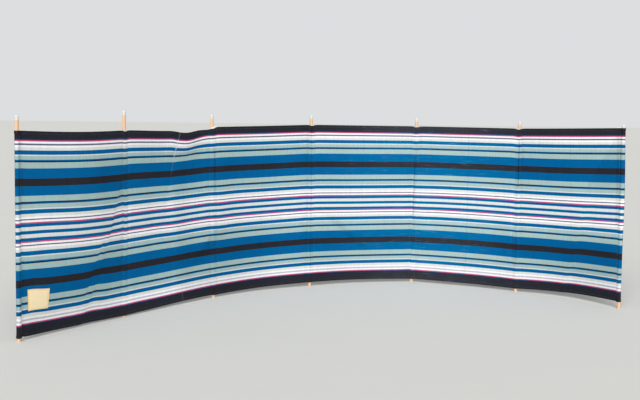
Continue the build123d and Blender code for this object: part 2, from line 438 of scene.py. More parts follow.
class Nodes:
    """Adds nodes to a tree."""

    def __init__(self, tree: NodeTree) -> None:
        """Keeps the tree."""
        self.tree = tree

    def connect(self, socket: NodeSocket, value: object) -> None:
        """Links a socket to a value, or sets it.

        Args:
            socket: The input.
            value: A Value, or what the input is set to.
        """
        if isinstance(value, Value):
            self.tree.links.new(value.socket, socket)
        else:
            socket.default_value = value

    def node(self, kind: str, settings: dict | None = None, sockets: dict | None = None,
             output: int | str = 0) -> Value:
        """Adds a node.

        Args:
            kind: Blender's type name, less its first words.
            settings: Attributes that are set before the sockets, and a ramp's stops.
            sockets: Inputs by name or number, and their values or links.
            output: Which output to return.

        Returns:
            The chosen output.
        """
        made = self.tree.nodes.new("ShaderNode" + kind)
        for key, value in (settings or {}).items():
            if key == "stops":
                set_stops(made.color_ramp, value)
            else:
                setattr(made, key, value)
        for key, value in (sockets or {}).items():
            self.connect(made.inputs[key], value)
        return Value(self, made.outputs[output])

    def math(self, operation: str, *terms: object) -> Value:
        """Adds a Math node on up to three terms."""
        return self.node("Math", {"operation": operation}, dict(enumerate(terms)))

    def mix(self, factor: Value | float, first: object, second: object) -> Value:
        """Mixes two colours, each a value or four numbers."""
        return self.node("Mix", {"data_type": "RGBA"}, {0: factor, 6: first, 7: second}, 2)

    def shade(self, color: Value | Color, amount: Value) -> Value:
        """A colour made lighter or darker by a value round 1."""
        color = color[:3] if isinstance(color, tuple) else color
        return self.node("VectorMath", {"operation": "SCALE"}, {0: color, "Scale": amount})

    def parts(self, vector: Value) -> tuple[Value, ...]:
        """A vector's three numbers."""
        first = self.node("SeparateXYZ", sockets={0: vector})
        return tuple(Value(self, socket) for socket in first.socket.node.outputs)


class Finish(Nodes):
    """Builds one material's nodes round a Principled shader."""

    def __init__(self, name: str, **constants: float) -> None:
        """Starts a material.

        Args:
            name: The material's name.
            constants: Names of the Principled shader's sockets, with _ for a space, and their values.
        """
        self.material = bpy.data.materials.new(name)
        self.material.use_nodes = True
        super().__init__(self.material.node_tree)
        self.surface = self.tree.nodes["Principled BSDF"]
        for key, value in constants.items():
            self.surface.inputs[key.replace("_", " ")].default_value = value

    @cached_property
    def cloth_place(self) -> tuple[Value, ...]:
        """Places along and up a piece of cloth, on its own map."""
        return self.parts(self.node("UVMap", {"uv_map": CLOTH_MAP}))[:2]

    @cached_property
    def object_place(self) -> tuple[Value, ...]:
        """The three object coordinates."""
        return self.parts(self.node("TexCoord", output="Object"))

    def noise(self, grain: Grain) -> Value:
        """Adds a noise pattern, on the cloth's map where it has two axes.

        Args:
            grain: The pattern.

        Returns:
            Numbers from 0 to 1.
        """
        place = self.cloth_place if len(grain.cycles) == 2 else self.object_place
        scaled = dict(enumerate(at * cycles for at, cycles in zip(place, grain.cycles)))
        looks = {"Scale": 1.0, "Detail": grain.detail, "Roughness": grain.rough}
        return self.node("TexNoise", sockets={"Vector": self.node("CombineXYZ", sockets=scaled), **looks})

    def done(self, color: Value, rough: Value | float, relief: Value | None = None,
             strength: float = 1.0, depth: float = 0.0003) -> Material:
        """Feeds the shader.

        Args:
            color: The base colour.
            rough: The roughness.
            relief: A height from 0 to 1, if there is one.
            strength: How strongly the relief turns the light.
            depth: The relief's depth in metres.

        Returns:
            The finished material.
        """
        self.connect(self.surface.inputs["Base Color"], color)
        self.connect(self.surface.inputs["Roughness"], rough)
        if relief is not None:
            bump = self.node("Bump", sockets={"Strength": strength, "Distance": depth, "Height": relief})
            self.connect(self.surface.inputs["Normal"], bump)
        return self.material


@dataclass(frozen=True)
class SlitShade:
    """A painted shadow line where the cloth is drawn in at a pocket or a sleeve, or creased: its place
    along and up the cloth.
    """

    along: float
    low: float
    high: float
    depth: float
    reach: float = 0.005


@dataclass(frozen=True)
class FoldShade:
    """Painted shade beside a slanting fold: a darker band painted on the cloth.

    It starts at a place along the cloth, leans by so much for each metre of height, runs between
    two heights, begins within a sharp reach of its line and fades out at another.
    """

    along: float
    lean: float
    low: float
    high: float
    sharp: float
    fade: float
    depth: float


@dataclass(frozen=True)
class ShadedStretch:
    """A stretch of the cloth with painted light and shade: lighter or darker than the rest, as the bellied
    cloth turns to or away from the lamp.

    Places are in metres along the cloth: from none to full at its start, and at its end.
    """

    start: tuple[float, float]
    end: tuple[float, float]
    change: float


@dataclass(frozen=True)
class StripedCanvas:
    """The woven canvas: stripes along its length, the same above and below a centre line.

    Creases that the folded cloth has kept stand out, one up each bay, and a paler line slants where the
    second bay's slack is pulled. Round the fifth pole a painted sheen lifts the dark colours and dims the
    pale ones, and painted light and shade lie on stretches of the cloth, beside slanting folds and in
    slits and creases. An Ease holds the range that a value is taken from and the range that it is mapped
    to, by itself from 0 to 1.
    """

    centre: float = 0.636
    reach: float = 0.66
    pitch: float = 0.0013
    wander: float = 0.003
    hem_drop: Ease = (0.16, 0.06, 0.0, 0.0022)
    low_line: tuple = (0.1005, 0.0075, 0.5)
    brightness: float = 0.985
    wobble: Grain = Grain((2.2, 3.0))
    yarn: Grain = Grain((4.0, 230.0), 4.0, 0.7, 0.10)
    slub: Grain = Grain((240.0, 5.0), 3.0, 0.65, 0.06)
    cloud: Grain = Grain((3.5, 3.5), 5.0, 0.6, 0.05)
    rib: Grain = Grain((85.0, 5.0), 3.0, 0.6, 0.22)
    fleck: Grain = Grain((42.0, 20.0), 3.0, 0.6, 0.16)
    streak: Grain = Grain((7.0, 95.0), 2.0, 0.6)
    streak_shows: Ease = (0.56, 0.74)
    # Painted sheen round the fifth pole, stronger high up: it lifts the dark colours and dims the pale
    # ones.
    sheen_at: float = 3.60
    sheen_across: Ease = (0.2, 1.0, 0.110, 0.0)
    sheen_up: Ease = (0.95, 1.2, 1.0, 1.4)
    sheen_dims: float = 0.5
    gamma: float = 1.02
    cloud_gamma: float = 0.08
    least_faded: float = 0.012
    yarn_stands: float = 0.6
    slub_stands: float = 0.5
    crease_stands: float = 1.5
    rough: float = 0.86
    relief: float = 0.35
    pull_pales: float = 0.4
    pull_at: float = 1.396
    pull_slant: float = 0.267
    pull_across: Ease = (0.001, 0.007, 1.0, 0.0)
    pull_faint: Ease = (0.90, 0.98, 0.0, 0.12)
    pull_clear: Ease = (1.03, 1.08, 0.0, 0.88)
    pull_hem: Ease = (1.205, 1.19, 0.2, 1.0)
    hem_line: float = 1.43
    hem_across: Ease = (0.004, 0.009, 0.09, 0.0)
    hem_up: Ease = (0.075, 0.065)
    creases: tuple = (0.315, 1.328, 2.176, 3.048, 3.953, 4.856)
    crease_across: Ease = (0.0, 0.0045, 0.30, 0.0)
    low_shade: Ease = (0.42, 0.30, 0.0, 0.05)
    slit_core: float = 0.001
    slit_ends: float = 0.02
    slant_ends: float = 0.05
    # Painted shadows in the slits by the pockets and the sleeves, and in the creases.
    seams: tuple = (
        SlitShade(-0.0220, -0.10, 1.30, 0.20, 0.060), SlitShade(0.0000, 0.00, 1.25, 0.20, 0.006),
        SlitShade(0.3150, 0.02, 1.20, 0.05), SlitShade(0.9030, 0.30, 1.25, 0.12),
        SlitShade(1.7600, 0.78, 1.09, 0.26, 0.009), SlitShade(2.1760, 0.02, 1.20, 0.09),
        SlitShade(2.6230, 0.10, 1.25, 0.22, 0.006), SlitShade(3.0480, 0.02, 1.20, 0.07),
        SlitShade(3.4900, 0.02, 1.25, 0.14, 0.006), SlitShade(3.4966, 0.50, 1.02, 0.36, 0.008),
        SlitShade(3.5050, 0.30, 1.12, 0.13, 0.020), SlitShade(3.9530, 0.02, 1.24, 0.14),
        SlitShade(4.3470, 0.22, 0.44, 0.16, 0.006), SlitShade(4.3700, 0.05, 1.20, 0.14, 0.006),
        SlitShade(4.3800, 0.22, 0.44, 0.22, 0.006), SlitShade(4.3830, 0.80, 1.16, 0.42, 0.008),
        SlitShade(4.8560, 0.02, 1.20, 0.09), SlitShade(5.2320, 0.55, 1.20, 0.16, 0.016))
    # Painted shade beside slanting folds, and low on the last bay.
    fold_shades: tuple = (
        FoldShade(1.270, 1.00, 0.27, 0.48, 0.012, 0.22, 0.14),
        FoldShade(3.330, -1.10, 0.24, 0.54, 0.030, 0.10, 0.13),
        FoldShade(4.300, 0.00, -0.50, 0.42, 0.150, 9.0, 0.07),
        FoldShade(4.464, 0.63, 0.81, 1.60, 0.008, 9.0, 0.10))
    # Painted light and shade on stretches of the bellied cloth, by how they turn to the lamp.
    painted_shading: tuple = (
        ShadedStretch((-0.60, -0.50), (0.40, 0.05), -0.06), ShadedStretch((0.60, 0.95), (1.44, 1.34), 0.07),
        ShadedStretch((1.34, 1.50), (2.40, 1.80), -0.105), ShadedStretch((2.45, 2.65), (3.10, 2.80), -0.055),
        ShadedStretch((4.30, 4.45), (5.20, 4.70), 0.04))
    charcoal: Color = rgb(43, 44, 51)
    blue: Color = rgb(0, 98, 155)
    fine_blue: Color = rgb(4, 94, 150)
    deep_blue: Color = rgb(0, 60, 102)
    navy: Color = rgb(8, 48, 78)
    sage: Color = rgb(166, 192, 190)
    pale: Color = rgb(218, 224, 222)
    cream: Color = rgb(223, 225, 221)
    white: Color = rgb(247, 247, 250)
    line: Color = rgb(104, 105, 126)
    red: Color = rgb(204, 82, 124)
    faded: Color = rgb(150, 190, 215)
    paler: Color = rgb(222, 232, 238)

    def bands(self) -> list[tuple[float, Color]]:
        """The stripes from the centre line out.

        Returns:
            Each band's width in metres and its colour.
        """
        middle = [(0.0085, self.blue), (0.0245, self.cream), (0.020, self.blue), (0.0065, self.red),
                  (0.013, self.white), (0.0085, self.line), (0.014, self.white), (0.018, self.cream),
                  (0.0255, self.blue), (0.008, self.pale), (0.025, self.sage),
                  (0.007, self.fine_blue), (0.0075, self.navy), (0.0365, self.sage),
                  (0.0605, self.blue), (0.0465, self.charcoal), (0.0605, self.blue)]
        outer = [(0.0365, self.sage), (0.0075, self.navy), (0.007, self.fine_blue), (0.024, self.sage),
                 (0.009, self.pale), (0.0245, self.blue), (0.018, self.cream), (0.014, self.white),
                 (0.0085, self.line), (0.014, self.white), (0.0065, self.red),
                 (0.0080, self.deep_blue), (0.1, self.charcoal)]
        return middle + outer

    def stripes(self, canvas: Finish, v: Value, wobble: Value) -> Value:
        """The stripes' colours, with the thin pale line low on the cloth.

        Args:
            canvas: The finish that is made.
            v: Height up the cloth.
            wobble: How the stripes wander, about 0.

        Returns:
            The colour.
        """
        edge, stops = 0.0, []
        for width, color in self.bands():
            stops.append((edge / self.reach, color))
            edge += width
        out = abs(v + v.ease(*self.hem_drop) + wobble * self.wander - self.centre) / self.reach
        color = canvas.node("ValToRGB", {"stops": stops}, {0: out})
        height, half, strength = self.low_line
        return canvas.mix(abs(v - height).below(half) * strength, color, self.white)

    def kept_creases(self, u: Value) -> Value:
        """Where the upright creases stand out.

        Args:
            u: Distance along the cloth.

        Returns:
            Numbers from 0 to 1.
        """
        near = abs(u - self.creases[0])
        for place in self.creases[1:]:
            near = near.smaller(abs(u - place))
        return near.ease(*self.crease_across)

    def pull_line(self, u: Value, v: Value) -> Value:
        """Where the paler line of the second bay's pull shows, and its foot in the hem.

        Args:
            u: Distance along the cloth.
            v: Height up the cloth.

        Returns:
            Numbers from 0 to 1.
        """
        off = abs(u - self.pull_at - (v - 1.0) * self.pull_slant)
        strength = v.ease(*self.pull_faint) + v.ease(*self.pull_clear)
        pull = off.ease(*self.pull_across) * strength * v.ease(*self.pull_hem)
        return pull.larger(abs(u - self.hem_line).ease(*self.hem_across) * v.ease(*self.hem_up))

    def light_left(self, u: Value, v: Value) -> Value:
        """How much light the painted light and shade leave: on stretches and low on the cloth, beside
        slanting folds, and in slits and creases.

        Args:
            u: Distance along the cloth.
            v: Height up the cloth.

        Returns:
            Numbers about 1.
        """
        # Painted shade low on the cloth, then painted light and shade on stretches along it.
        painted_shading = 1.0 - v.ease(*self.low_shade)
        for shaded_stretch in self.painted_shading:
            painted_shading = painted_shading + u.ease(*shaded_stretch.start) * u.ease(*shaded_stretch.end) * shaded_stretch.change
        # Painted shade beside each slanting fold.
        fold_shades = 1.0
        for fold in self.fold_shades:
            off = u - fold.along - v * fold.lean
            beside = off.ease(-fold.sharp, fold.sharp, 0.0, fold.depth) * off.ease(fold.fade, fold.sharp)
            fold_shades = fold_shades - beside * v.between(fold.low, fold.high, self.slant_ends)
        # Painted shadow in slits and creases; where two meet, the darker counts.
        lost = 0.0
        for seam in self.seams:
            near = abs(u - seam.along).ease(self.slit_core, seam.reach, seam.depth, 0.0)
            lost = (near * v.between(seam.low, seam.high, self.slit_ends)).larger(lost)
        return painted_shading * fold_shades * (1.0 - lost)

    def make(self) -> Material:
        """Builds the material.

        Returns:
            The material.
        """
        canvas = Finish("striped_canvas", Specular_IOR_Level=0.04)
        u, v = canvas.cloth_place
        grains = (self.yarn, self.slub, self.cloud, self.rib, self.fleck)
        noises = [canvas.noise(grain) for grain in grains]
        light = self.brightness
        for grain, noise in zip(grains, noises):
            light = light + (noise - 0.5) * grain.weight
        yarn, slub, cloud = noises[:3]
        # Painted sheen round the fifth pole.
        painted_sheen = abs(u - self.sheen_at).ease(*self.sheen_across) * v.ease(*self.sheen_up)
        color = self.stripes(canvas, v, canvas.noise(self.wobble) - 0.5)
        # The painted sheen lowers the gamma, which lifts the dark colours.
        gamma = self.gamma - painted_sheen - (cloud - 0.5) * self.cloud_gamma
        color = canvas.node("Gamma", sockets={"Color": color, "Gamma": gamma})
        streak = canvas.noise(self.streak).ease(*self.streak_shows)
        # Faded streaks, faint everywhere and stronger under the painted sheen.
        color = canvas.mix(streak * (painted_sheen + self.least_faded), color, self.faded)
        pull = self.pull_line(u, v)
        color = canvas.mix(pull * self.pull_pales, color, self.paler)
        # The painted sheen dims the light here, and the painted light and shade are laid on.
        light = light * (1.0 - painted_sheen * self.sheen_dims) * self.light_left(u, v)
        warp, weft = (canvas.math("SINE", at * (TAU / self.pitch)) for at in (v, u))
        relief = warp * weft * 0.5 + 0.5 + yarn * self.yarn_stands + slub * self.slub_stands
        relief = relief + self.kept_creases(u).larger(pull) * self.crease_stands
        return canvas.done(canvas.shade(color, light), self.rough, relief, self.relief)


@dataclass(frozen=True)
class PatchCloth:
    """The plain yellow cloth of the patch, a little deeper in colour round its rim."""

    color: Color = rgb(250, 230, 188)
    rim_color: Color = rgb(248, 208, 138)
    rim: Ease = (0.0, 0.14, 0.75, 0.0)
    brightness: float = 0.99
    cloud: Grain = Grain((4.0, 4.0), 3.0, weight=0.08)
    weave: Grain = Grain((110.0, 110.0))
    rough: float = 0.7
    relief: float = 0.25

    def make(self) -> Material:
        """Builds the material.

        Returns:
            The material.
        """
        patch = Finish("patch_cloth", Sheen_Weight=0.05, Specular_IOR_Level=0.3)
        u, v = patch.cloth_place
        inside = (0.5 - abs(u - 0.5)).smaller(0.5 - abs(v - 0.5))
        color = patch.mix(inside.ease(*self.rim), self.color, self.rim_color)
        light = (patch.noise(self.cloud) - 0.5) * self.cloud.weight + self.brightness
        return patch.done(patch.shade(color, light), self.rough, patch.noise(self.weave), self.relief)


@dataclass(frozen=True)
class PoleWood:
    """Bare turned softwood, with its grain along the pole."""

    light: Color = rgb(239, 204, 168)
    dark: Color = rgb(219, 168, 129)
    knot: Color = rgb(168, 112, 70)
    drift: Grain = Grain((6.0, 6.0, 1.5))
    fibre: Grain = Grain((420.0, 420.0, 9.0), 3.0, 0.6)
    knots: Grain = Grain((30.0, 30.0, 5.0))
    knot_shows: Ease = (0.72, 0.82)
    ring_turn: tuple = (0.8, 0.6)
    ring_drift: float = 0.02
    ring_count: float = 900.0
    ring_dark: float = 0.55
    fibre_dark: float = 0.3
    rough: float = 0.62
    rough_change: float = 0.15
    relief: float = 0.3

    def make(self) -> Material:
        """Builds the material.

        Returns:
            The material.
        """
        wood = Finish("pole_wood", Specular_IOR_Level=0.35)
        x, y, _ = wood.object_place
        drift = (wood.noise(self.drift) - 0.5) * self.ring_drift
        across = x * self.ring_turn[0] + y * self.ring_turn[1] + drift
        rings = wood.math("SINE", across * self.ring_count) * 0.5 + 0.5
        fibre = wood.noise(self.fibre)
        color = wood.mix(rings * self.ring_dark + fibre * self.fibre_dark, self.light, self.dark)
        color = wood.mix(wood.noise(self.knots).ease(*self.knot_shows), color, self.knot)
        return wood.done(color, fibre * self.rough_change + self.rough, fibre, self.relief)


@dataclass(frozen=True)
class PlainFinish:
    """A finish of one colour with soft noise in it. Its first grain may also change how rough it is
    and stand out from it.
    """

    name: str
    color: Color
    brightness: float
    grains: tuple[Grain, ...]
    rough: float
    rough_change: float = 0.0
    relief: float = 0.0
    depth: float = 0.0003
    specular: float = 0.3
    sheen: float = 0.0

    def make(self) -> Material:
        """Builds the material.

        Returns:
            The material.
        """
        finish = Finish(self.name, Specular_IOR_Level=self.specular, Sheen_Weight=self.sheen)
        noises = [finish.noise(grain) for grain in self.grains]
        light = self.brightness
        for grain, noise in zip(self.grains, noises):
            light = light + noise * grain.weight
        rough = noises[0] * self.rough_change + self.rough if self.rough_change else self.rough
        relief = noises[0] if self.relief else None
        return finish.done(finish.shade(self.color, light), rough, relief, self.relief, self.depth)


POCKET_TAPE = PlainFinish(
    "pocket_tape", rgb(236, 235, 228), 0.93, (
        Grain((240.0, 6.0), 3.0, 0.6, weight=0.07), Grain((7.0, 7.0, 7.0), 4.0, weight=0.05)),
    rough=0.88, relief=0.4, specular=0.25, sheen=0.12)
CAP_PLASTIC = PlainFinish(
    "cap_plastic", rgb(217, 219, 217), 0.94, (
        Grain((180.0, 180.0, 180.0), 4.0, 0.7), Grain((60.0, 60.0, 60.0), 3.0, weight=0.1)),
    rough=0.38, rough_change=0.2, relief=0.15, depth=0.0002, specular=0.45)
FLOOR_PAINT = PlainFinish(
    "floor_paint", rgb(222, 222, 218), 0.985, (Grain((1.5, 1.5, 1.5), 3.0, weight=0.03),),
    rough=0.9, specular=0.1)
THREADS = {
    name: PlainFinish(
        f"{name}_thread", color, 0.9, (Grain((900.0, 900.0, 900.0), 1.0, weight=0.15),), rough=0.7)
    for name, color in (
        ("grey", rgb(128, 133, 142)), ("blue", rgb(84, 102, 128)),
        ("pale", rgb(176, 180, 184)), ("warm", rgb(186, 132, 74)))
}


def select_only(piece: Object | None) -> None:
    """Selects one piece alone, because an operator acts on all that is selected.

    Args:
        piece: The piece, or None to select nothing.
    """
    for thing in bpy.context.selected_objects:
        thing.select_set(False)
    if piece:
        piece.select_set(True)
        bpy.context.view_layer.objects.active = piece


def smooth(piece: Object, degrees: float = 40.0) -> None:
    """Shades a piece smooth, apart from its sharp edges."""
    select_only(piece)
    bpy.ops.object.shade_smooth_by_angle(angle=math.radians(degrees))


def new_piece(name: str, points: Array, faces: Array, material: Material) -> Object:
    """Makes a piece.

    Args:
        name: The piece's name.
        points: Its points, in an array of any shape and 3.
        faces: The numbers of each face's points.
        material: Its finish.

    Returns:
        The piece.
    """
    mesh = bpy.data.meshes.new(name)
    mesh.from_pydata(points.reshape(-1, 3).tolist(), [], faces.tolist())
    mesh.materials.append(material)
    piece = bpy.data.objects.new(name, mesh)
    bpy.context.scene.collection.objects.link(piece)
    return piece


def flat_map(across: Array, up: Array) -> Array:
    """Places on a flat cloth, a row for each height."""
    return np.stack(np.broadcast_arrays(across[None, :], up[:, None]), -1)


def distances(points: Array) -> Array:
    """How far along a line its points are."""
    steps = np.linalg.norm(np.diff(points, axis=0), axis=1)
    return np.concatenate([[0], np.cumsum(steps)])


def grid_piece(name: str, points: Array, places: Array, thickness: float, material: Material) -> Object:
    """Makes a sheet of cloth from a grid of points in its middle.

    Args:
        name: The piece's name.
        points: Rows by columns by 3.
        places: Rows by columns by 2, for the piece's map.
        thickness: The cloth's thickness.
        material: Its finish.

    Returns:
        The piece, as a closed thin solid.
    """
    rows, columns = points.shape[:2]
    at = np.arange(rows * columns).reshape(rows, columns)
    faces = np.stack([at[:-1, :-1], at[:-1, 1:], at[1:, 1:], at[1:, :-1]], -1).reshape(-1, 4)
    piece = new_piece(name, points, faces, material)
    mesh = piece.data
    layer = mesh.uv_layers.new(name=CLOTH_MAP)
    corner = np.zeros(len(mesh.loops), np.int32)
    mesh.loops.foreach_get("vertex_index", corner)
    layer.uv.foreach_set("vector", places.reshape(-1, 2)[corner].astype(np.float32).ravel())
    select_only(piece)
    solidify = piece.modifiers.new("Solidify", "SOLIDIFY")
    solidify.thickness = thickness
    solidify.offset = 0.0
    bpy.ops.object.modifier_apply(modifier=solidify.name)
    smooth(piece)
    return piece


def grid_normals(points: Array) -> Array:
    """Unit normals of a grid of points, out of the sheltered side."""
    normals = np.cross(np.gradient(points, axis=1), np.gradient(points, axis=0))
    return normals / np.linalg.norm(normals, axis=-1, keepdims=True)


def blend_points(first: Array, second: Array, steps: int, push: object = 0.0) -> Array:
    """Points on lines from first to second, first left out and second kept.

    Args:
        first: Points that the lines start from.
        second: Points that they end at.
        steps: How many points a line gets.
        push: A vector that the lines' middles are pushed by.

    Returns:
        The points, a row for each line.
    """
    shares = (np.arange(1, steps + 1) / steps)[None, :, None]
    return first[:, None] + (second - first)[:, None] * shares + push * np.sin(math.pi * shares)


@dataclass
class Sheet:
    """A piece of cloth: the plan that it hangs on, its finish, and the size that it was cut to."""

    row: Row
    material: Material
    flat: tuple[float, float] = (0.0, 0.0)


@dataclass
class Cloth(Sheet):
    """The long striped cloth, with its hems and with its ends turned round the end poles."""

    hem: float = 0.018
    hem_gap: float = 0.0017
    hem_turn: float = 0.001
    hem_crest: float = 0.0006
    bend: float = 0.012
    coarse: float = 0.018
    fine: float = 0.004
    fine_reach: float = 0.032
    coarsening: float = 1.25
    last_step: float = 0.75
    row_step: float = 0.0152
    close_rows: tuple = (0.0, 0.0035, 0.009, 0.0145, 0.018, 0.0225, 0.030)
    sleeve_lap: float = 0.004
    lap_plies: float = 0.2
    slack: float = 0.0037
    slack_at: float = 0.62
    slack_reach: float = 0.25
    sleeve_drops: tuple = (0.0105, 0.003)
    drop_power: float = 1.45
    fullness: float = 0.0006
    tuck_at: float = 3.4880
    tuck_lift: float = 0.003
    tuck_reach: float = 0.15
    tuck_top: float = 0.90
    tuck_fade: float = 0.08
    arc_steps: int = 12
    leg_steps: int = 5
    lap_steps: int = 2

    def __post_init__(self) -> None:
        """Works out the rows of the sheltered face and the columns of a bay."""
        self.heights = self.row_heights()
        self.rises = self.heights / self.row.cloth_height
        self.offsets = self.column_offsets()

    def column_offsets(self) -> Array:
        """Distances of the columns of one bay from its left pole, close together at the poles.

        Returns:
            The distances, in order.
        """
        middle = self.row.bay_length / 2
        at, step, half = 0.0, self.fine, [0.0]
        while at < middle - self.last_step * step:
            at += step
            half.append(at)
            if at >= self.fine_reach:
                step = min(step * self.coarsening, self.coarse)
        half = np.array(half) * (middle / half[-1])
        return np.concatenate([half, self.row.bay_length - half[-2::-1]])

    def row_heights(self) -> Array:
        """Heights up the cloth of the rows on the sheltered face, close together at the hems.

        Returns:
            The heights, in order.
        """
        close, height = np.array(self.close_rows), self.row.cloth_height
        count = round((height - 2 * close[-1]) / self.row_step)
        between = np.linspace(close[-1], height - close[-1], count + 1)[1:-1]
        return np.concatenate([close, between, height - close[::-1]])

    def bay_grid(self) -> tuple[Array, Array]:
        """The six bays as one grid.

        Returns:
            The points, and the columns' places along the cloth.
        """
        row, offsets = self.row, self.offsets
        parts, places = [], []
        for bay in range(len(BAYS)):
            points = row.cloth(bay, (offsets / row.bay_length)[None, :], self.rises[:, None])
            if bay < row.last:
                self.round_bend(points, offsets - row.bay_length, bay + 1)
            if bay > 0:
                self.round_bend(points, offsets, bay)
            keep = slice(0 if bay == 0 else 1, None)
            parts.append(points[:, keep])
            places.append((offsets + bay * row.bay_length)[keep])
        return np.concatenate(parts, 1), np.concatenate(places)

    def round_bend(self, points: Array, off: Array, pole: int) -> None:
        """Rounds the cloth where it passes in front of an inner pole, in place.

        Args:
            points: The bay's grid.
            off: Its columns' distances from the pole, below 0 on the left.
            pole: Which pole.
        """
        reach = self.bend / self.row.bay_length
        before = self.row.cloth(pole - 1, 1 - reach, self.rises)
        corner = self.row.cloth(pole - 1, 1.0, self.rises)
        after = self.row.cloth(pole, reach, self.rises)
        for column in np.flatnonzero(np.abs(off) < self.bend):
            share = (off[column] + self.bend) / (2 * self.bend)
            ends = before * (1 - share) ** 2 + after * share**2
            points[:, column] = ends + corner * 2 * share * (1 - share)

    def sleeve_grid(self, end: End) -> tuple[Array, Array]:
        """The end of the cloth, round the back of its pole and on to the sheltered face again.

        Args:
            end: Which end.

        Returns:
            The grid, from the bay outwards, and its columns' distances from the bay's end.
        """
        row, rises, at_left = self.row, self.rises, end is End.LEFT
        pole, bay, share = (0, 0, 0.0) if at_left else (row.last + 1, row.last, 1.0)
        inward, front = row.along[bay] * end.value, row.front[bay]
        seam = row.cloth(bay, share, rises)
        loose = self.slack * np.exp(-(((rises - self.slack_at) / self.slack_reach) ** 2)) * (not at_left)
        centre = row.axis(pole, seam[:, 2]) - inward * loose[:, None]
        radius = row.tube_radius + loose
        reach, out = (seam - centre) @ inward, (seam - centre) @ front
        touch = np.arccos(radius / np.hypot(reach, out))
        begin = touch - np.arctan2(out, reach)
        angles = begin[:, None] + (TAU - 2 * touch)[:, None] * np.linspace(0, 1, self.arc_steps)
        arc = inward * np.cos(angles)[..., None] - front * np.sin(angles)[..., None]
        arc = centre[:, None] + arc * radius[:, None, None]
        proud = front * row.ply * self.lap_plies
        lap = row.cloth(bay, share + end.value * self.sleeve_lap / row.bay_length, rises) + proud
        full = front * self.fullness
        grid = np.concatenate([
            blend_points(seam, arc[:, 0], self.leg_steps, -full),
            arc[:, 1:],
            blend_points(arc[:, -1], seam + proud, self.leg_steps, full),
            blend_points(seam + proud, lap, self.lap_steps),
        ], 1)
        drop = self.sleeve_drops[0 if at_left else 1] * (1 - rises) ** self.drop_power
        ramp = np.minimum(1, np.arange(1, grid.shape[1] + 1) / self.leg_steps / 2)
        grid[..., 2] -= drop[:, None] * ramp
        return grid, np.linalg.norm(grid[0, 0] - seam[0]) + distances(grid[0])

    def build(self) -> Object:
        """Makes the whole cloth as one sheet.

        Returns:
            The piece.
        """
        row, heights = self.row, self.heights
        bays, places = self.bay_grid()
        left, left_at = self.sleeve_grid(End.LEFT)
        right, right_at = self.sleeve_grid(End.RIGHT)
        self.face = self.clear_poles(np.concatenate([left[:, ::-1], bays, right], 1))
        self.normals = grid_normals(self.face)
        self.across = np.concatenate([-left_at[::-1], places, places[-1] + right_at])
        middle = self.face - self.normals * row.ply / 2
        behind = middle - self.normals * self.hem_gap
        half_way = middle - self.normals * self.hem_gap / 2
        turned = heights <= self.hem + TINY
        crest = np.array([0.0, 0.0, self.hem_crest])
        low, high = behind[turned][::-1], behind[turned[::-1]][::-1]
        points = np.concatenate([low, half_way[:1] - crest, middle, half_way[-1:] + crest, high])
        turn, up, top = self.hem_turn, heights[turned], row.cloth_height
        tall = np.concatenate([-up[::-1] - 2 * turn, [-turn], heights, [top + turn], top + 2 * turn + up])
        map_places = flat_map(self.across, tall)
        map_places[..., 1] -= self.tuck(*np.moveaxis(map_places, -1, 0))
        self.flat = (top + 2 * self.hem + 4 * turn, float(self.across[-1] - self.across[0]))
        return grid_piece("striped_cloth", points, map_places, row.ply, self.material)

    def tuck(self, across: Array, up: Array) -> Array:
        """How far the cloth left of the fifth pole's seam is taken up, at places of the cloth."""
        before = np.where(across < self.tuck_at, np.exp((across - self.tuck_at) / self.tuck_reach), 0.0)
        return self.tuck_lift * before * np.clip((self.tuck_top - up) / self.tuck_fade, 0, 1)

    def surface(self, across: Array, up: Array) -> Run:
        """Points and normals of the sheltered face.

        Args:
            across: Places along the cloth.
            up: Heights up the cloth, as many.

        Returns:
            The points and their unit normals.
        """
        columns = np.interp(across, self.across, np.arange(len(self.across)))
        lines = np.interp(up, self.heights, np.arange(len(self.heights)))
        column = np.minimum(columns.astype(int), len(self.across) - 2)
        line = np.minimum(lines.astype(int), len(self.heights) - 2)
        x, y = (columns - column)[:, None], (lines - line)[:, None]
        both = []
        for grid in (self.face, self.normals):
            low = grid[line, column] * (1 - x) + grid[line, column + 1] * x
            high = grid[line + 1, column] * (1 - x) + grid[line + 1, column + 1] * x
            both.append(low * (1 - y) + high * y)
        return both[0], both[1] / np.linalg.norm(both[1], axis=-1, keepdims=True)

    def clear_poles(self, face: Array) -> Array:
        """Moves the cloth out of the inner poles, where it is drawn round their fronts.

        Args:
            face: The grid of the sheltered face.

        Returns:
            The moved grid.
        """
        least = self.row.pole_radius + 2 * self.row.ply
        for pole in range(1, self.row.last + 1):
            centre = self.row.axis(pole, face[..., 2])
            away = face - centre
            far = np.linalg.norm(away[..., :2], axis=-1)
            scale = np.where((far < least) & (far > 0), least / np.maximum(far, TINY), 1.0)
            face = centre + away * np.stack([scale, scale, np.ones_like(scale)], -1)
        return face


